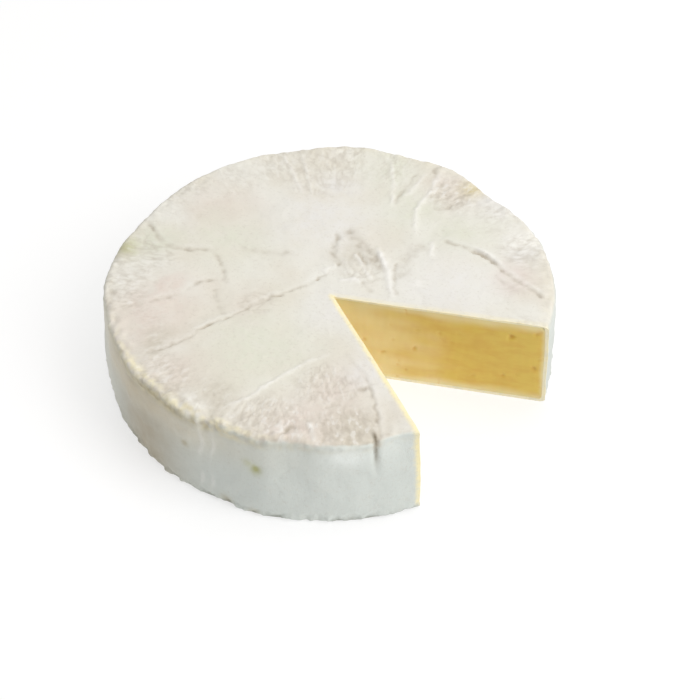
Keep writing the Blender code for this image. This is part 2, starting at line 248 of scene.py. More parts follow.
def softRise(x, y):
    # the slow unevenness that the paste and the rind share
    return roughness(np.column_stack((x, y, np.zeros_like(x))), 34.0, 3) * 0.9


def pillowed(points, scale, seed):
    # rounded little pillows, 1 at most, between sharp creases at 0
    return np.minimum(np.abs(roughness(points, scale, seed)) * 3.0, 1.0)


def topRelief(x, y):
    # rise of the upper face, and how much painted shade each point takes in a fold, painted highlight
    # on a ridge or lip, creping, and painted shade in its creases
    flat = np.column_stack((x, y, np.zeros_like(x)))
    wander = roughness(flat, 9.0, 1) * 2.0
    wanderAcross = roughness(flat, 9.0, 2) * 2.0
    wayward = roughness(flat, 3.0, 10)
    crumbs = roughness(flat, 1.9, 15)
    rise = roughness(flat, 8.0, 4) * 0.26 + wayward * 0.12 + crumbs * 0.07
    stitched = np.clip(0.74 + 1.2 * roughness(flat, 2.6, 5), 0.38, 1.35)
    fading = np.clip(0.85 + 1.2 * roughness(flat, 12.0, 11), 0.5, 1.15)
    shadeGrey, ridgeHighlight = np.zeros_like(x), np.zeros_like(x)
    bentX, bentY = x + wander * 0.4 + wayward * 0.9, y + wanderAcross * 0.4 - wayward * 0.9
    for points, width, depth, lip in folds.values():
        signed, along = besideCurve(bentX, bentY, curveThrough(points))
        ends = ramp(along, 0.0, 0.12) * ramp(1.0 - along, 0.0, 0.12) * fading
        groove = ends * stitched * hump(signed + 0.5 * crumbs, width)
        rise = rise - depth * groove
        rise = rise + lip * ends * stitched * hump(signed - 2.2 * width, 1.5 * width)
        # painted shade along the groove, and painted highlight on its lip
        shadeGrey = np.maximum(shadeGrey, groove * depth / 0.6)
        ridgeHighlight = np.maximum(ridgeHighlight, ends * hump(signed - 2.2 * width, 1.2 * width) * max(lip, 0.0) / 0.5)
    bentX, bentY = x + wander * 0.3 + wayward * 0.7, y + wanderAcross * 0.3 - wayward * 0.7
    for points, width, height in ridges.values():
        signed, along = besideCurve(bentX, bentY, curveThrough(points))
        ends = ramp(along, 0.0, 0.2) * ramp(1.0 - along, 0.0, 0.2)
        back = ends * (0.45 + 0.55 * stitched) * hump(signed, width)
        rise = rise + height * back
        # painted highlight on the ridge
        ridgeHighlight = np.maximum(ridgeHighlight, back * height / 0.6)
    # creping: creases drawn out along each patch's own direction, and outwards all round the rim
    zone, creaseShade = np.zeros_like(x), np.zeros_like(x)
    for index, ((midX, midY), reach, turn, height) in enumerate(crepes):
        aside, ahead = math.sin(math.radians(turn)), math.cos(math.radians(turn))
        across = (x - midX) * aside - (y - midY) * ahead
        along = (x - midX) * ahead + (y - midY) * aside
        inside = 1.0 - ramp(np.hypot(x - midX, y - midY) + 1.6 * wander, 0.45 * reach, reach)
        seat = np.column_stack((across + 0.5 * wander, along * 0.75, np.full_like(x, 9.0 * index)))
        pillow = pillowed(seat, 2.7, 12) - 0.6
        rise = rise + inside * (0.65 * height * pillow - 0.25 * height)
        zone = np.maximum(zone, inside * height / 0.4)
        # painted shade in the creases between the pillows
        creaseShade = np.maximum(creaseShade, inside * np.clip(0.2 - pillow, 0.0, 0.8) / 0.8)
    fromMiddle = np.hypot(x, y)
    azimuth = np.arctan2(y, x)
    # the front panel beside the cut was stretched smooth
    smoothPanel = ramp(x, 14.0, 20.0) * ramp(-y, 40.0, 55.0)
    ring = ramp(fromMiddle, 62.0, 82.0) * np.clip(0.55 + 1.5 * roughness(flat, 15.0, 13), 0.1, 1.0)
    ring = ring * (1.0 - smoothPanel) * (1.0 - 0.6 * hump(turnGap(np.degrees(azimuth), 14.0), 16.0))
    seat = np.column_stack((np.cos(azimuth) * 88.0, np.sin(azimuth) * 88.0, fromMiddle * 0.75))
    pillow = pillowed(seat, 2.5, 14) - 0.6
    rise = rise + ring * (0.18 * pillow - 0.04)
    zone = np.maximum(zone * ramp(fromMiddle, 26.0, 48.0), 0.8 * ring)
    # and painted shade in the creases of the ring of creping
    creaseShade = np.maximum(creaseShade, ring * np.clip(0.2 - pillow, 0.0, 0.8))
    return softRise(x, y) + np.maximum(rise, -wheel["deepest"]), shadeGrey, ridgeHighlight, zone, creaseShade


def baseRelief(x, y):
    # rise of the underside where it doesn't touch the board
    flat = np.column_stack((x, y, np.full_like(x, 60.0)))
    hollow = 0.10 + 0.30 * roughness(flat, 9.0, 61) + 0.12 * roughness(flat, 2.6, 62)
    return np.clip(hollow, 0.0, 0.35) * ramp(np.hypot(x, y), 86.0, 80.0)


def softPush(azimuth, z, points):
    # the slow shape of the side, with the dents deep enough to reach the paste
    push = wheel["swell"] * np.sin(np.pi * np.clip(z / wheel["height"], 0.0, 1.0))
    push = push + roughness(points, 22.0, 6) * 0.6
    # the nick in the rim, the crack over the front of it and the bites out of the foot
    push = push - 1.0 * hump(turnGap(azimuth, marks["rimNick"]), 1.2) * hump(z - 38.0, 3.2)
    push = push - 1.2 * hump(turnGap(azimuth, marks["crack"]), 1.0) * ramp(z, 20.0, 33.0)
    for centre in marks["bites"]:
        push = push - 0.9 * hump(turnGap(azimuth, centre), 1.8) * hump(z - 0.8, 2.8)
    return push


def seamLines(azimuth, z):
    # how strongly each point stands in one of the upright lines
    seat = np.column_stack((z, np.zeros_like(z), azimuth * 0.05))
    waver = roughness(seat, 9.0, 41) * 1.1
    weight = np.clip(0.7 + 1.4 * roughness(seat, 6.0, 42), 0.15, 1.2) * ramp(z, 3.0, 9.0)
    return weight * sum(share * hump(turnGap(azimuth, middle) + waver, width)
                        for middle, width, share in marks["seams"])


def sideRelief(azimuth, z, points):
    # push of the side and of the rounded edges beyond the plain wheel
    height = wheel["height"]
    push = roughness(points, 6.5, 7) * 0.35 + roughness(points, 2.4, 15) * 0.12
    smoothRim = hump(turnGap(azimuth, marks["smoothRim"]), 9.0)
    rim = hump(z - (height - 1.2), 2.2) * (1.0 - 0.8 * smoothRim)
    beading = 0.35 + 0.65 * ramp(hump(turnGap(azimuth, marks["beadedRim"]), 30.0), 0.2, 0.8)
    push = push + rim * beading * (roughness(points, 3.4, 8) * 1.1 + roughness(points, 1.7, 16) * 0.8)
    # the rind draws in a little under the crumbs of the rim
    push = push - 0.30 * hump(z - (height - 4.4), 1.3) * beading
    foot = hump(z - 1.5, 2.6)
    push = push + foot * (roughness(points, 4.6, 9) * 1.3 + roughness(points, 2.0, 17) * 0.8)
    push = push + 0.22 * seamLines(azimuth, z)
    middle, level, halfWidth, halfHeight = marks["dimple"]
    push = push - 0.6 * hump(turnGap(azimuth, middle), halfWidth) * hump(z - level, halfHeight)
    return softPush(azimuth, z, points) + np.maximum(push, -wheel["deepest"])


def reachToCircle(turn, radius):
    # distance from the cut's apex to a circle about the wheel's middle, in the direction turn
    apexX, apexY = wheel["apex"]
    along = apexX * np.cos(turn) + apexY * np.sin(turn)
    return -along + np.sqrt(np.maximum(along ** 2 - apexX ** 2 - apexY ** 2 + radius ** 2, 0.0))


def outlinePush(azimuth, z):
    # outward push of the wheel's outline, and the sag beside the cut
    upper, foot = np.zeros_like(z), np.zeros_like(z)
    for centre, width, push in wheel["rimPushes"]:
        upper = upper + push * hump(turnGap(azimuth, centre), width)
    for centre, width, push in wheel["footPushes"]:
        foot = foot + push * hump(turnGap(azimuth, centre), width)
    centre, width, depth = wheel["slump"]
    slump = depth * hump(turnGap(azimuth, centre), width) * ramp(z, 22.0, 37.0)
    return foot + (upper - foot) * ramp(z, 6.0, 30.0), slump


def spinAngles(points):
    # turn about the apex, how far out, and height, of points as they come from the spin
    turn = np.degrees(np.arctan2(points[:, 1], points[:, 0])) % 360.0
    turn = np.where(turn > 355.0, 0.0, turn)  # rounding can put the first spoke just below 360
    out = np.hypot(points[:, 0], points[:, 1])
    return np.radians(turn + wheel["backWall"]), out, points[:, 2]


def fromWalls(turn, out):
    # distance from the nearer of the two cut walls
    turned = turn - math.radians(wheel["backWall"])
    left = math.radians(wheel["around"]) - turned
    quarter = 0.5 * math.pi
    return out * np.minimum(np.sin(np.minimum(turned, quarter)), np.sin(np.minimum(left, quarter)))


def fromCut(x, y):
    # turn about the apex since the back wall, just below 0 a little before it, and distance from the
    # nearer wall
    awayX, awayY = x - wheel["apex"][0], y - wheel["apex"][1]
    start = math.radians(wheel["backWall"])
    turned = (np.arctan2(awayY, awayX) - start + 0.1) % (2.0 * math.pi) - 0.1
    return turned, fromWalls(turned + start, np.hypot(awayX, awayY))


def onWheel(turn, out):
    # place, and azimuth about the wheel's middle, of a point seen from the apex
    x = wheel["apex"][0] + out * np.cos(turn)
    y = wheel["apex"][1] + out * np.sin(turn)
    return x, y, np.degrees(np.arctan2(y, x)) % 360.0


def readPoints(piece):
    flat = np.empty(len(piece.data.vertices) * 3)
    piece.data.vertices.foreach_get("co", flat)
    return flat.reshape(-1, 3) / mm


def writePoints(piece, points):
    piece.data.vertices.foreach_set("co", (points * mm).ravel())
    piece.data.update()


def centred(x, y, z):
    # moved so that the middle of the outline lies on the origin
    return np.column_stack((x - wheel["middle"][0], y - wheel["middle"][1], z))


def addAttribute(piece, name, values):
    layer = piece.data.attributes.new(name, "FLOAT", "POINT")
    layer.data.foreach_set("value", np.clip(values, 0.0, 1.0).astype(np.float32))


def pick(piece, kind, test):
    # selects the corners or edges of the edited mesh whose middle passes the test
    bpy.ops.mesh.select_all(action="DESELECT")
    bpy.ops.mesh.select_mode(type=kind)
    shape = bmesh.from_edit_mesh(piece.data)
    for part in shape.verts if kind == "VERT" else shape.edges:
        spots = [part.co] if kind == "VERT" else [corner.co for corner in part.verts]
        if test(sum(spots, Vector()) / len(spots) / mm):
            part.select_set(True)
    bmesh.update_edit_mesh(piece.data)


def cornerCount(piece):
    return len(bmesh.from_edit_mesh(piece.data).verts)


def pickCorners(piece, wanted):
    # selects the corners that the list marks
    bpy.ops.mesh.select_all(action="DESELECT")
    bpy.ops.mesh.select_mode(type="VERT")
    shape = bmesh.from_edit_mesh(piece.data)
    for corner, want in zip(shape.verts, wanted):
        corner.select_set(bool(want))
    shape.select_flush_mode()
    bmesh.update_edit_mesh(piece.data)


# the rind, one sheet turned about the apex of the cut and thickened
rind = {
    "thickness": 1.3,
    "spokes": 840,            # steps of the turn
    "topCuts": 150,
    "sideCuts": 54,
    "baseCuts": 44,
    "rimSegments": 8,
    "footSegments": 4,
    "outerKept": 0.45,        # share of the faces that is kept, most of them where the relief is
    "baseKept": 0.16,
    "innerKept": 0.02,
}


def makeRind():
    bpy.ops.object.select_all(action="DESELECT")
    radius, height = wheel["radius"], wheel["height"]
    bpy.ops.mesh.primitive_plane_add(size=1.0, location=(radius / 2 * mm, 0.0, height / 2 * mm),
                                     rotation=(math.pi / 2, 0.0, 0.0))
    piece = bpy.context.object
    piece.name = piece.data.name = "rind"
    piece.scale = (radius * mm, height * mm, 1.0)
    bpy.ops.object.transform_apply(location=True, rotation=True, scale=True)
    bpy.ops.object.mode_set(mode="EDIT")
    # half the wheel's section, with its two outer corners rounded
    pick(piece, "VERT", lambda p: p.x > 1.0 and p.z > 1.0)
    bpy.ops.mesh.bevel(offset=wheel["topEdge"] * mm, segments=rind["rimSegments"], affect="VERTICES")
    pick(piece, "VERT", lambda p: p.x > radius - near and p.z < near)
    bpy.ops.mesh.bevel(offset=wheel["baseEdge"] * mm, segments=rind["footSegments"], affect="VERTICES")
    bpy.ops.mesh.select_all(action="SELECT")
    bpy.ops.mesh.delete(type="ONLY_FACE")
    pick(piece, "EDGE", lambda p: p.x < near)
    bpy.ops.mesh.delete(type="EDGE")
    pick(piece, "EDGE", lambda p: p.z > height - near)
    bpy.ops.mesh.subdivide(number_cuts=rind["topCuts"])
    pick(piece, "EDGE", lambda p: p.x > radius - near)
    bpy.ops.mesh.subdivide(number_cuts=rind["sideCuts"])
    pick(piece, "EDGE", lambda p: p.z < near)
    bpy.ops.mesh.subdivide(number_cuts=rind["baseCuts"])
    bpy.ops.object.mode_set(mode="OBJECT")
    # turned about the apex of the cut, from one wall round to the other
    turned = piece.modifiers.new("turned", "SCREW")
    turned.axis = "Z"
    turned.angle = math.radians(wheel["around"])
    turned.steps = turned.render_steps = rind["spokes"]
    bpy.ops.object.modifier_apply(modifier=turned.name)
    bpy.ops.object.mode_set(mode="EDIT")
    bpy.ops.mesh.select_all(action="SELECT")
    bpy.ops.mesh.remove_doubles(threshold=mergeGap)
    bpy.ops.mesh.normals_make_consistent(inside=False)
    bpy.ops.object.mode_set(mode="OBJECT")
    spun = readPoints(piece)

    thicken = piece.modifiers.new("thicken", "SOLIDIFY")
    thicken.thickness = rind["thickness"] * mm
    thicken.offset = -1.0
    bpy.ops.object.modifier_apply(modifier=thicken.name)

    outer = shapeOuter(spun)
    inner = shapeInner(spun)
    writePoints(piece, np.vstack((outer, inner)))

    # plain stretches and the hidden inner skin need few faces
    turn, out, z = spinAngles(spun)
    free = (out > 1.0) & (turn > turn.min() + nearTurn) & (turn < turn.max() - nearTurn)
    bpy.ops.object.mode_set(mode="EDIT")
    pickCorners(piece, np.append(np.zeros(len(spun), bool), free))
    bpy.ops.mesh.decimate(ratio=rind["innerKept"])
    if rind["outerKept"] < 1.0:
        # the first corners in the list are still those of the outer skin
        aboveBase = free & (z > near)
        pickCorners(piece, np.append(aboveBase, np.zeros(cornerCount(piece) - len(spun), bool)))
        bpy.ops.mesh.decimate(ratio=rind["outerKept"])
    bpy.ops.object.mode_set(mode="OBJECT")
    # the level part of the underside has hardly any relief
    x, y, z = (readPoints(piece) + (wheel["middle"][0], wheel["middle"][1], 0.0)).T
    onBase = (z < 0.6) & (np.hypot(x, y) < 0.95 * radius) & (fromCut(x, y)[1] > 3.0)
    bpy.ops.object.mode_set(mode="EDIT")
    pickCorners(piece, onBase)
    bpy.ops.mesh.decimate(ratio=rind["baseKept"])
    bpy.ops.mesh.select_all(action="DESELECT")
    bpy.ops.object.mode_set(mode="OBJECT")
    bpy.ops.object.shade_smooth_by_angle(angle=smoothAngle)
    return piece


def shapeOuter(spun):
    # the spun sheet brought to the wheel's real outline and given its relief
    radius, height = wheel["radius"], wheel["height"]
    topEdge, baseEdge = wheel["topEdge"], wheel["baseEdge"]
    turn, out, z = spinAngles(spun)
    edge = np.where(z > height / 2, topEdge, baseEdge)
    flatReach = radius - edge
    inFlat = out <= flatReach + near
    plan = np.where(inFlat, out / flatReach * reachToCircle(turn, flatReach),
                    reachToCircle(turn, np.where(inFlat, radius, out)))
    x, y, azimuth = onWheel(turn, plan)
    fromMiddle = np.hypot(x, y)
    push, slump = outlinePush(azimuth, z)
    stretch = ramp(fromMiddle, wheel["stillPart"] * radius, radius)
    plan = plan + (push - slump) * stretch
    x, y, azimuth = onWheel(turn, plan)
    points = np.column_stack((x, y, z))

    onTop = inFlat & (z > height - near)
    onBase = inFlat & (z < near)
    topArc = ~inFlat & (z > height - topEdge)
    # 0 where the skin faces up and a quarter turn where it faces out
    lean = np.arctan2(out - (radius - topEdge), z - (height - topEdge))
    lean = np.where(onTop, 0.0, np.where(topArc, lean, 0.5 * math.pi))
    outward = np.where(onTop | onBase, 0.0, np.sin(lean)) * ramp(z, 0.0, 1.0)
    upward = np.where(onBase, 0.0, np.cos(lean))
    plan = plan + sideRelief(azimuth, z, points) * outward
    x, y, azimuth = onWheel(turn, plan)
    edgeFade = 1.0 - 0.45 * ramp(fromMiddle, 0.9 * radius, radius)
    rim = hump(fromMiddle - radius + 2.5, 3.5) * roughness(points, 3.4, 8)
    rim = rim * (0.7 + 0.6 * hump(turnGap(azimuth, marks["beadedRim"] - 2.0), 32.0))
    rise = topRelief(x, y)[0]
    z = z + upward * (rise * edgeFade + rim)
    z = z - wheel["sinking"] * slump * upward * ramp(fromMiddle, 0.8 * radius, radius)
    z = z + onBase * baseRelief(x, y) * ramp(fromWalls(turn, plan), 0.5, 4.0)
    # the knife rolled the rind's edge over a little
    z = z - 0.35 * hump(fromWalls(turn, plan), 0.7) * upward
    return centred(x, y, z)


def shapeInner(spun):
    # the same sheet one rind's thickness further in, without the fine relief
    radius, height, thick = wheel["radius"], wheel["height"], rind["thickness"]
    turn, out, z = spinAngles(spun)
    edge = np.where(z > height / 2, wheel["topEdge"], wheel["baseEdge"])
    flatReach = radius - edge
    inFlat = out <= flatReach + near
    inset = np.where(inFlat, 0.0, np.clip((out - flatReach) / edge, 0.0, 1.0)) * thick
    plan = np.where(inFlat, out / flatReach * reachToCircle(turn, flatReach),
                    reachToCircle(turn, out - inset))
    z = thick + z * (height - 2.0 * thick) / height
    return paddedPoints(turn, plan, z)


def paddedPoints(turn, plan, z):
    # follows the slow shape of the outside
    x, y, azimuth = onWheel(turn, plan)
    push, slump = outlinePush(azimuth, z)
    stretch = ramp(np.hypot(x, y), wheel["stillPart"] * wheel["radius"], wheel["radius"])
    points = np.column_stack((x, y, z))
    plan = plan + (push - slump + softPush(azimuth, z, points) * ramp(z, 1.0, 3.0)) * stretch
    x, y, azimuth = onWheel(turn, plan)
    lift = ramp(z, 0.5 * wheel["height"], wheel["height"])
    z = z + softRise(x, y) * lift - wheel["sinking"] * slump * lift * stretch
    return centred(x, y, z)


rindPiece = makeRind()
print("rind", len(rindPiece.data.polygons), "faces")

# the paste inside it
paste = {
    "inset": 1.0,             # how far inside the outline, so that it bears against the rind
    "corner": 3.2,
    "footCorner": 1.5,
    "columns": 118,
    "rows": 52,
    "steps": 90,
    "recess": 0.10,           # the rind's cut edge stands this far proud
    "belly": 0.42,            # and the middle of each wall this far out from the recess
    "waves": 0.16,            # long level waves of the walls
    "drag": 0.10,             # and the upright ripples that the knife left
    "hiddenKept": 0.25,
}


def makePaste():
    bpy.ops.object.select_all(action="DESELECT")
    radius = wheel["radius"] - paste["inset"]
    height = wheel["height"] - 2.0 * paste["inset"]
    bpy.ops.mesh.primitive_grid_add(x_subdivisions=paste["columns"], y_subdivisions=paste["rows"],
                                    size=1.0, location=(radius / 2 * mm, 0.0, wheel["height"] / 2 * mm),
                                    rotation=(math.pi / 2, 0.0, 0.0))
    piece = bpy.context.object
    piece.name = piece.data.name = "paste"
    piece.scale = (radius * mm, height * mm, 1.0)
    bpy.ops.object.transform_apply(location=True, rotation=True, scale=True)
    bpy.ops.object.mode_set(mode="EDIT")
    bpy.ops.mesh.select_all(action="SELECT")
    bpy.ops.mesh.spin(steps=paste["steps"], angle=-math.radians(wheel["around"]),
                      center=(0.0, 0.0, 0.0), axis=(0.0, 0.0, 1.0))
    bpy.ops.mesh.select_all(action="SELECT")
    bpy.ops.mesh.remove_doubles(threshold=mergeGap)
    bpy.ops.mesh.normals_make_consistent(inside=False)
    bpy.ops.object.mode_set(mode="OBJECT")

    spun = readPoints(piece)
    turn, out, z = spinAngles(spun)
    part = out / radius
    corner = np.where(z > wheel["height"] / 2, paste["corner"], paste["footCorner"])
    sides = np.minimum(z - paste["inset"], wheel["height"] - paste["inset"] - z)
    rounding = corner - np.sqrt(corner ** 2 - np.clip(corner - sides, 0.0, corner) ** 2)
    plan = part * reachToCircle(turn, radius - rounding)
    points = paddedPoints(turn, plan, z)

    # the two cut walls: a soft belly, the drag of the knife and a few small eyes
    onBack = turn < turn.min() + nearTurn
    onFront = turn > turn.max() - nearTurn
    wall = onBack | onFront
    fromRind = np.minimum(sides, (1.0 - part) * radius * 2.0)
    bulge = paste["belly"] * ramp(fromRind, 0.0, 9.0) * ramp(out, 0.0, 14.0)
    seat = np.column_stack((out, z, np.where(onBack, 0.0, 50.0)))
    waves = roughness(seat * (0.35, 1.0, 1.0), 7.0, 21) * ramp(fromRind, 0.3, 2.5)
    drag = roughness(seat * (1.0, 0.3, 1.0), 2.2, 22) * ramp(fromRind, 0.3, 2.0)
    bulge = bulge + paste["waves"] * waves + paste["drag"] * drag
    eyes = np.clip(roughness(seat, 3.6, 23) - 0.46, 0.0, 1.0) * 2.6
    bulge = (bulge - eyes * ramp(fromRind, 1.5, 4.0)) * ramp(out, 0.0, 5.0) - paste["recess"]
    for chosen, azimuth, way in ((onBack, wheel["backWall"], -90.0),
                                 (onFront, wheel["backWall"] + wheel["around"], 90.0)):
        facing = math.radians(azimuth + way)
        inside = chosen & (out > near)
        points[inside, 0] += bulge[inside] * math.cos(facing)
        points[inside, 1] += bulge[inside] * math.sin(facing)
    # the apex line draws back between them
    onAxis = out < near
    back = math.radians(wheel["backWall"] + wheel["around"] / 2)
    points[onAxis, 0] += 2.0 * paste["recess"] * math.cos(back)
    points[onAxis, 1] += 2.0 * paste["recess"] * math.sin(back)
    writePoints(piece, points)
    fromRind = np.minimum(fromRind, 0.1 + 0.095 * out) + 0.9 * ramp(out, 25.0, 80.0) - 0.5
    fromRind = fromRind + 1.2 * roughness(seat * (0.5, 1.0, 1.0), 5.0, 24)
    # an attribute holds 0 to 1, so this one counts in centimetres
    addAttribute(piece, "fromRind", np.where(wall, fromRind, 10.0) / 10.0)
    addAttribute(piece, "eye", eyes)

    bpy.ops.object.mode_set(mode="EDIT")
    pickCorners(piece, ~(wall | onAxis))
    bpy.ops.mesh.decimate(ratio=paste["hiddenKept"])
    bpy.ops.mesh.select_all(action="DESELECT")
    bpy.ops.object.mode_set(mode="OBJECT")
    bpy.ops.object.shade_smooth_by_angle(angle=smoothAngle)
    return piece


pastePiece = makePaste()
print("paste", len(pastePiece.data.polygons), "faces")


def tone(red, green, blue):
    # a colour as it reads on screen, made linear
    return tuple((c / 255.0 / 12.92) if c <= 10 else ((c / 255.0 + 0.055) / 1.055) ** 2.4
                 for c in (red, green, blue)) + (1.0,)


def newMaterial(name, **settings):
    material = bpy.data.materials.new(name)
    material.use_nodes = True
    shader = material.node_tree.nodes["Principled BSDF"]
    for socket, value in settings.items():
        shader.inputs[socket.replace("_", " ")].default_value = value
    return material, material.node_tree, shader


def noiseNode(tree, grain, detail=3.0, rough=0.5, stretch=(1.0, 1.0, 1.0)):
    # grain is the size of the pattern in millimetres
    place = tree.nodes.new("ShaderNodeTexCoord")
    mapping = tree.nodes.new("ShaderNodeMapping")
    mapping.inputs["Scale"].default_value = [value / mm / grain for value in stretch]
    tree.links.new(place.outputs["Object"], mapping.inputs["Vector"])
    texture = tree.nodes.new("ShaderNodeTexNoise")
    texture.inputs["Scale"].default_value = 1.0
    texture.inputs["Detail"].default_value = detail
    texture.inputs["Roughness"].default_value = rough
    tree.links.new(mapping.outputs["Vector"], texture.inputs["Vector"])
    return texture.outputs["Fac"]


def attributeNode(tree, name):
    node = tree.nodes.new("ShaderNodeAttribute")
    node.attribute_name = name
    return node.outputs["Fac"]


def rangeNode(tree, value, low, high, toLow=0.0, toHigh=1.0):
    node = tree.nodes.new("ShaderNodeMapRange")
    node.interpolation_type = "SMOOTHSTEP"
    limits = {"From Min": low, "From Max": high, "To Min": toLow, "To Max": toHigh}
    for socket, number in limits.items():
        node.inputs[socket].default_value = number
    tree.links.new(value, node.inputs["Value"])
    return node.outputs["Result"]


def mathNode(tree, operation, first, second=0.0):
    node = tree.nodes.new("ShaderNodeMath")
    node.operation = operation
    for socket, value in zip(node.inputs, (first, second)):
        if isinstance(value, (int, float)):
            socket.default_value = value
        else:
            tree.links.new(value, socket)
    return node.outputs[0]


def mixNode(tree, amount, first, second):
    node = tree.nodes.new("ShaderNodeMix")
    node.data_type = "RGBA"
    tree.links.new(amount, node.inputs["Factor"])
    # the colour sockets of a Mix node come after its number and vector sockets
    for socket, value in zip((node.inputs[6], node.inputs[7]), (first, second)):
        if isinstance(value, tuple):
            socket.default_value = value
        else:
            tree.links.new(value, socket)
    return node.outputs[2]


def bumpNode(tree, height, strength, depth, before=None):
    node = tree.nodes.new("ShaderNodeBump")
    node.inputs["Strength"].default_value = strength
    node.inputs["Distance"].default_value = depth * mm
    tree.links.new(height, node.inputs["Height"])
    if before is not None:
        tree.links.new(before, node.inputs["Normal"])
    return node.outputs["Normal"]


rindFinish = {
    "white": tone(237, 235, 226),
    "cream": tone(231, 226, 213),
    "blush": tone(230, 218, 208),
    "greenish": tone(228, 228, 212),
    "cool": tone(236, 234, 230),
    "shade": tone(214, 207, 192),
    "pale": tone(250, 248, 240),
    # grey of the painted shade in folds, creases, creping and the mat's grooves, also used for random
    # specks
    "shadeGrey": tone(184, 174, 158),
    # painted highlight on ridges, fold lips, seams and creping
    "ridgeHighlight": tone(248, 246, 241),
    "rimCream": tone(246, 238, 208),
    "underRim": tone(172, 158, 118),
    # painted contact shadow along the foot
    "foot": tone(162, 164, 154),
    # painted shade in the crack and the notch at the foot
    "crack": tone(118, 108, 90),
    # the side's tone, darker and cooler than the top: painted shade and cool light
    "side": tone(217, 222, 216),
    # painted warm light and painted shade on the side's left, also uneven tone at the back, and painted
    # light
    "sideWarmLightAndTone": tone(229, 219, 196),
    "sideShadeAndTone": tone(186, 173, 148),
    "sideLight": tone(246, 250, 245),
    # cream where the paste shows at the cut, and a painted highlight along the front wall's edge
    "cutEdgeCreamAndHighlight": tone(255, 243, 196),
    "section": tone(252, 244, 214),
    "mossy": tone(190, 190, 142),
    "ochre": tone(222, 206, 152),
}
# size of each pattern, in millimetres
rindGrain = {
    "broad": 26.0,            # slow change from white to cream
    "mottled": 5.0,           # unevenness of the coats
    "streaked": 2.7,          # creping, drawn out towards the rim
    "speck": 1.3,
    "crumbs": 2.2,
    "fuzz": 0.55,
    "mat": 2.6,               # pitch of the draining mat's print
    "matWander": 14.0,
}
# attribute, tone and strength of each coat of colour, painted light and shade among them, in the order
# that they are laid on
coats = (
    ("blush", "blush", 0.95), ("greenish", "greenish", 0.95), ("cool", "cool", 0.9),
    ("shade", "shade", 0.9), ("pale", "pale", 0.9), ("side", "side", 1.0),
    ("sideWarmLightAndTone", "sideWarmLightAndTone", 0.9), ("sideShadeAndTone", "sideShadeAndTone", 0.95),
    ("sideLight", "sideLight", 0.9), ("rimCream", "rimCream", 1.0), ("mossy", "mossy", 1.0),
    ("ochre", "ochre", 1.0), ("creaseShade", "shadeGrey", 0.3), ("shadeGrey", "shadeGrey", 0.8),
    ("underRim", "underRim", 0.6), ("foot", "foot", 0.8), ("crack", "crack", 0.85),
    ("ridgeHighlight", "ridgeHighlight", 0.8), ("seam", "ridgeHighlight", 0.32), ("section", "section", 0.95),
    ("cutEdgeCreamAndHighlight", "cutEdgeCreamAndHighlight", 0.9),
)


def paintTop(piece, x, y, onTop):
    # painted shade in the folds and creases, painted highlight on ridges and lips, and where creping
    # lies
    for name, values in zip(("shadeGrey", "ridgeHighlight", "zone", "creaseShade"), topRelief(x, y)[1:]):
        addAttribute(piece, name, values * onTop)
    flat = np.column_stack((x, y, np.zeros_like(x)))
    warped = roughness(flat, 14.0, 31) * 9.0
    for tint, places in tints.items():
        patches = [hump(np.hypot(x - midX, y - midY) + warped, reach) for midX, midY, reach in places]
        addAttribute(piece, tint, np.max(patches, axis=0) * onTop * 0.85)
    # all off the top takes the side's tone, darker and cooler than the top: painted shade and cool
    # light
    addAttribute(piece, "side", 1.0 - onTop)


def paintCut(piece, x, y, z):
    # the rind's cut edge, creamy where the paste shows and with a painted highlight along the front
    # wall, and what the knife laid open
    turned, walls = fromCut(x, y)
    frontWall = 0.25 + 0.75 * (turned > 2.5)
    addAttribute(piece, "cutEdgeCreamAndHighlight", ramp(walls, 2.6, 0.9) * ramp(z, 1.0, 4.0) * frontWall)
    addAttribute(piece, "section", ramp(walls, 0.5, 0.1))
    # where the draining mat left its print
    underneath = ramp(z, 0.8, 0.4) * ramp(np.hypot(x, y), 87.0, 82.0) * ramp(walls, 1.0, 4.0)
    addAttribute(piece, "underneath", underneath)


def paintRimAndFoot(piece, points, azimuth, z, fromMiddle):
    atEdge = ramp(fromMiddle, 82.0, 87.0)
    # creamy crumbs along the rim and the shade below them
    onRim = hump(fromMiddle - 88.4, 2.4) * ramp(z, 34.0, 37.5)
    beads = np.clip(0.6 + 1.6 * roughness(points, 2.6, 8), 0.0, 1.2)
    beaded = ramp(hump(turnGap(azimuth, marks["beadedRim"] + 2.0), 30.0), 0.2, 0.9)
    addAttribute(piece, "rimCream", onRim * beads * (0.12 + 0.88 * beaded))
    under = hump(z - (wheel["height"] - 3.0), 1.8) * ramp(fromMiddle, 84.0, 87.0)
    under = under * (0.2 + 0.8 * hump(turnGap(azimuth, marks["beadedRim"]), 22.0))
    under = under * ramp(turnGap(azimuth, 283.0), 2.0, -2.0)
    # painted shade in the crack down the side and in the notch of the foot
    crack = hump(turnGap(azimuth, marks["crack"]), 0.55) * ramp(z, 24.0, 34.0) * atEdge
    notch = 0.6 * sideSpot(azimuth, z, *marks["notch"]) * atEdge
    addAttribute(piece, "crack", np.maximum(crack, notch))
    # dark spots at the nicks, partly painted shade in the dents of the rim and foot
    nicks = sum(sideSpot(azimuth, z, *spot) for spot in marks["nicks"])
    addAttribute(piece, "underRim", np.maximum(under, 0.8 * nicks) * ramp(fromMiddle, 78.0, 84.0))
    # painted contact shadow along the foot, uneven
    footContactShade = hump(z - 0.4, 1.6) * np.clip(0.7 - 1.6 * roughness(points, 4.6, 9), 0.1, 1.0)
    addAttribute(piece, "foot", footContactShade * ramp(fromMiddle, 80.0, 86.0))


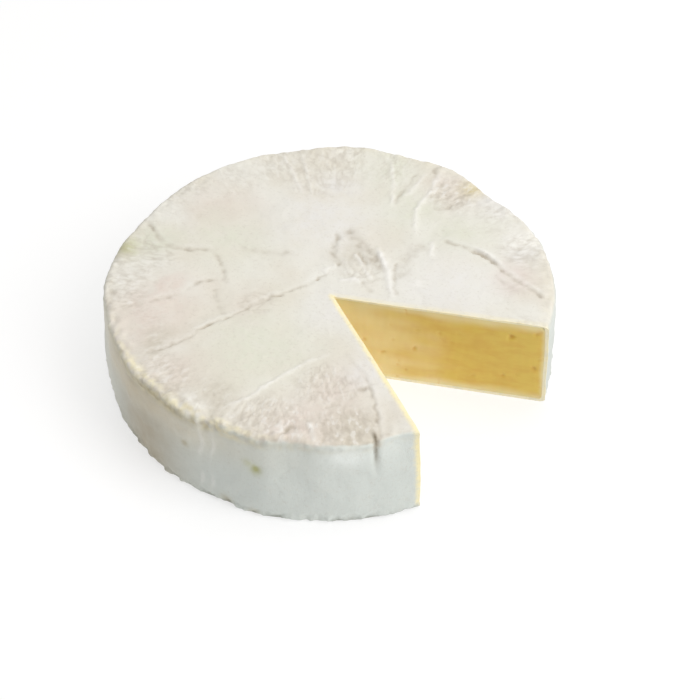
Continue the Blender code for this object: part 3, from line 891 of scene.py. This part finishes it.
def paintSide(piece, azimuth, z, onSide):
    # a painted highlight along the raised seam lines
    addAttribute(piece, "seam", seamLines(azimuth, z) * onSide)
    # slow changes of painted light and shade round the side: shade and warm light on its left, brighter
    # light at its far left and along its upper front, and weaker patches of shade and warmth at the
    # back that are uneven tone
    shade = hump(turnGap(azimuth, 216.0), 14.0) + 0.30 * hump(turnGap(azimuth, 122.0), 20.0)
    shade = shade * (0.8 - 0.5 * ramp(z, 16.0, 32.0))
    addAttribute(piece, "sideShadeAndTone", shade * onSide)
    warmLightAndTone = hump(turnGap(azimuth, 212.0), 34.0) + 0.45 * hump(turnGap(azimuth, 105.0), 40.0)
    warmLightAndTone = warmLightAndTone * hump(z - 33.0, 10.0) + 0.5 * hump(turnGap(azimuth, 188.0), 13.0)
    addAttribute(piece, "sideWarmLightAndTone", warmLightAndTone * onSide)
    light = hump(z - 35.0, 5.5) * (0.2 + 0.7 * hump(turnGap(azimuth, 274.0), 4.0))
    light = light * ramp(turnGap(azimuth, 262.0), 0.0, 10.0)
    light = light + 0.4 * hump(turnGap(azimuth, 186.0), 13.0)
    light = light + 0.20 * hump(turnGap(azimuth, 273.0), 14.0)
    addAttribute(piece, "sideLight", light * onSide)


def paintMould(piece, x, y, azimuth, z, onSide):
    # moss-coloured pits and stains, and an ochre one on the back of the rim
    midX, midY, reach = marks["moss"]
    moss = hump(np.hypot(x - midX, y - midY), reach) * ramp(z, 31.0, 38.0)
    pits = sideSpot(azimuth, z, *marks["pit"])
    pits = np.maximum(pits, 0.6 * sideSpot(azimuth, z, *marks["pitBeside"]))
    addAttribute(piece, "mossy", np.maximum(0.7 * moss, 0.9 * pits * onSide))
    midX, midY, reach = marks["ochre"]
    ochre = hump(np.hypot(x - midX, y - midY), reach) * ramp(z, 34.0, 39.5)
    addAttribute(piece, "ochre", 0.7 * ochre)


def paintRind(piece):
    # where each coat belongs, kept as attributes of the mesh
    points = readPoints(piece)
    x, y, z = points[:, 0] + wheel["middle"][0], points[:, 1] + wheel["middle"][1], points[:, 2]
    azimuth = np.degrees(np.arctan2(y, x)) % 360.0
    fromMiddle = np.hypot(x, y)
    push, slump = outlinePush(azimuth, z)
    # the top's coats end on the rounding of the rim
    onTop = ramp(fromMiddle - push + slump, 90.1, 89.1) * ramp(z, 35.5, 37.5)
    onSide = ramp(fromMiddle, 78.0, 84.0) * (1.0 - onTop)
    paintTop(piece, x, y, onTop)
    paintCut(piece, x, y, z)
    paintRimAndFoot(piece, points, azimuth, z, fromMiddle)
    paintSide(piece, azimuth, z, onSide)
    paintMould(piece, x, y, azimuth, z, onSide)


def radialNoise(tree, grain):
    # a pattern drawn out from the middle of the wheel towards its rim
    place = tree.nodes.new("ShaderNodeTexCoord")
    flatten = tree.nodes.new("ShaderNodeVectorMath")
    flatten.operation = "MULTIPLY"
    flatten.inputs[1].default_value = (1.0 / mm, 1.0 / mm, 0.0)
    tree.links.new(place.outputs["Object"], flatten.inputs[0])
    reach = tree.nodes.new("ShaderNodeVectorMath")
    reach.operation = "LENGTH"
    tree.links.new(flatten.outputs[0], reach.inputs[0])
    heading = tree.nodes.new("ShaderNodeVectorMath")
    heading.operation = "NORMALIZE"
    tree.links.new(flatten.outputs[0], heading.inputs[0])
    ring = tree.nodes.new("ShaderNodeVectorMath")
    ring.operation = "SCALE"
    ring.inputs["Scale"].default_value = wheel["radius"] / grain
    tree.links.new(heading.outputs[0], ring.inputs[0])
    outwards = tree.nodes.new("ShaderNodeCombineXYZ")
    along = mathNode(tree, "MULTIPLY", reach.outputs["Value"], 0.65 / grain)
    tree.links.new(along, outwards.inputs["Z"])
    seat = tree.nodes.new("ShaderNodeVectorMath")
    seat.operation = "ADD"
    tree.links.new(ring.outputs[0], seat.inputs[0])
    tree.links.new(outwards.outputs[0], seat.inputs[1])
    texture = tree.nodes.new("ShaderNodeTexNoise")
    texture.inputs["Scale"].default_value = 1.0
    texture.inputs["Detail"].default_value = 1.6
    tree.links.new(seat.outputs[0], texture.inputs["Vector"])
    return texture.outputs["Fac"]


def matLines(tree, pitch):
    # the parallel print of the draining mat
    place = tree.nodes.new("ShaderNodeTexCoord")
    apart = tree.nodes.new("ShaderNodeSeparateXYZ")
    tree.links.new(place.outputs["Object"], apart.inputs[0])
    wander = mathNode(tree, "MULTIPLY", noiseNode(tree, rindGrain["matWander"], 2.0), 5.0)
    turns = mathNode(tree, "MULTIPLY", apart.outputs["X"], 2.0 * math.pi / (pitch * mm))
    return mathNode(tree, "SINE", mathNode(tree, "ADD", turns, wander))


def makeRindMaterial():
    material, tree, shader = newMaterial("velvetRind", Roughness=0.88, Specular_IOR_Level=0.3,
                                         Sheen_Weight=0.12, Sheen_Roughness=0.5)
    broad = rangeNode(tree, noiseNode(tree, rindGrain["broad"], 2.0), 0.35, 0.65)
    color = mixNode(tree, broad, rindFinish["white"], rindFinish["cream"])
    mottled = noiseNode(tree, rindGrain["mottled"], 4.0, 0.6)
    for name, tint, weight in coats:
        amount = mathNode(tree, "MULTIPLY", attributeNode(tree, name), weight)
        # the side is more even than the top
        spread = 0.1 if name.startswith("side") else 0.3
        uneven = rangeNode(tree, mottled, 0.3, 0.7, 1.0 - spread, 1.0 + spread)
        amount = mathNode(tree, "MULTIPLY", amount, uneven)
        color = mixNode(tree, amount, color, rindFinish[tint])
    # painted shade: dark dots between the crumbs, thickest where the rind is creped, then a painted
    # highlight on the crumbs
    zone = attributeNode(tree, "zone")
    streaked = radialNoise(tree, rindGrain["streaked"])
    crepeShade = mathNode(tree, "MULTIPLY", rangeNode(tree, streaked, 0.50, 0.66, 0.0, 0.32), zone)
    color = mixNode(tree, crepeShade, color, rindFinish["shadeGrey"])
    light = mathNode(tree, "MULTIPLY", rangeNode(tree, streaked, 0.46, 0.32, 0.0, 0.45), zone)
    color = mixNode(tree, light, color, rindFinish["ridgeHighlight"])
    # random dark specks in the same grey, the rind's own colour
    speck = rangeNode(tree, noiseNode(tree, rindGrain["speck"], 4.0, 0.65), 0.52, 0.72, 0.0, 0.18)
    color = mixNode(tree, speck, color, rindFinish["shadeGrey"])
    lines = matLines(tree, rindGrain["mat"])
    lines = mathNode(tree, "MULTIPLY", lines, attributeNode(tree, "underneath"))
    # painted shade in the grooves of the mat's print
    color = mixNode(tree, rangeNode(tree, lines, -0.2, -1.0, 0.0, 0.35), color, rindFinish["shadeGrey"])
    tree.links.new(color, shader.inputs["Base Color"])
    # relief from the finest to the broadest
    fuzz = bumpNode(tree, noiseNode(tree, rindGrain["fuzz"], 4.0, 0.6), 0.5, 0.10)
    crumbs = bumpNode(tree, noiseNode(tree, rindGrain["crumbs"], 4.0, 0.6), 0.6, 0.30, fuzz)
    creping = mathNode(tree, "MULTIPLY", mathNode(tree, "SUBTRACT", 1.0, streaked), zone)
    creped = bumpNode(tree, creping, 0.7, 0.35, crumbs)
    tree.links.new(bumpNode(tree, lines, 0.7, 0.12, creped), shader.inputs["Normal"])
    return material


pasteFinish = {
    "heart": tone(226, 196, 92),
    "edge": tone(246, 232, 184),
    "streak": tone(218, 172, 76),
    "streakGrain": 9.0,
    "dragGrain": 1.6,         # the fine lines that the knife dragged
}


def makePasteMaterial():
    material, tree, shader = newMaterial("creamyPaste", Roughness=0.42, Specular_IOR_Level=0.4,
                                         Subsurface_Weight=0.25, Subsurface_Radius=(1.0, 0.6, 0.25),
                                         Subsurface_Scale=0.003)
    lengthwise = noiseNode(tree, pasteFinish["streakGrain"], 3.0, 0.55, (1.0, 1.0, 2.4))
    streaks = rangeNode(tree, lengthwise, 0.35, 0.7, 0.0, 0.5)
    heart = mixNode(tree, streaks, pasteFinish["heart"], pasteFinish["streak"])
    deep = rangeNode(tree, attributeNode(tree, "fromRind"), -0.12, 0.55)
    color = mixNode(tree, deep, pasteFinish["edge"], heart)
    color = mixNode(tree, attributeNode(tree, "eye"), color, pasteFinish["streak"])
    tree.links.new(color, shader.inputs["Base Color"])
    drag = noiseNode(tree, pasteFinish["dragGrain"], 3.0, 0.5, (0.5, 0.5, 1.5))
    tree.links.new(bumpNode(tree, drag, 0.4, 0.12), shader.inputs["Normal"])
    return material


paintRind(rindPiece)
rindPiece.data.materials.append(makeRindMaterial())
pastePiece.data.materials.append(makePasteMaterial())
for piece, slotName in ((rindPiece, "rind"), (pastePiece, "paste")):
    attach(piece, "root")
    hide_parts("brie_wheel")
print("finishes on")

studio = {
    "floorSize": 6.0,
    "floorColor": (0.40, 0.40, 0.40, 1.0),
    "floorGlow": 0.625,
    "target": (0.00844, -0.00646, 0.01225),
    "camera": (0.0001, -0.77676, 0.7347),
    "lens": 133.7,
    "clip": (0.01, 20.0),
    "world": 0.30,
    "lampTarget": (0.0, 0.0, 0.02),
    # place, size, power and colour
    "lamps": {
        "key": ((0.95, -0.60, 1.2), 1.0, 13.0, (1.0, 1.0, 1.0)),
        "above": ((0.15, 0.35, 1.6), 1.6, 13.5, (1.0, 0.98, 0.955)),
    },
}


def aim(thing, place, target):
    thing.location = place
    thing.rotation_mode = "QUATERNION"
    thing.rotation_quaternion = (Vector(target) - Vector(place)).to_track_quat("-Z", "Y")


def makeStudio():
    bpy.ops.object.select_all(action="DESELECT")
    bpy.ops.mesh.primitive_plane_add(size=studio["floorSize"], location=(0.0, 0.0, 0.0))
    floor = bpy.context.object
    floor.name = "floor"
    paleFloor, _, _ = newMaterial("paleFloor", Base_Color=studio["floorColor"], Roughness=0.9,
                                  Emission_Color=(1.0, 1.0, 1.0, 1.0),
                                  Emission_Strength=studio["floorGlow"])
    floor.data.materials.append(paleFloor)
    for name, (place, size, power, color) in studio["lamps"].items():
        lamp = bpy.data.lights.new(name, "AREA")
        lamp.size, lamp.energy, lamp.color = size, power, color
        holder = bpy.data.objects.new(name, lamp)
        bpy.context.collection.objects.link(holder)
        aim(holder, place, studio["lampTarget"])
    world = bpy.data.worlds.new("studio")
    bpy.context.scene.world = world
    world.use_nodes = True
    background = world.node_tree.nodes["Background"]
    background.inputs["Color"].default_value = (1.0, 1.0, 1.0, 1.0)
    background.inputs["Strength"].default_value = studio["world"]
    camera = bpy.data.cameras.new("camera")
    camera.lens = studio["lens"]
    camera.clip_start, camera.clip_end = studio["clip"]
    holder = bpy.data.objects.new("camera", camera)
    bpy.context.collection.objects.link(holder)
    aim(holder, studio["camera"], studio["target"])
    bpy.context.scene.camera = holder
    bpy.context.scene.view_settings.view_transform = "Standard"


makeStudio()
print("studio set")
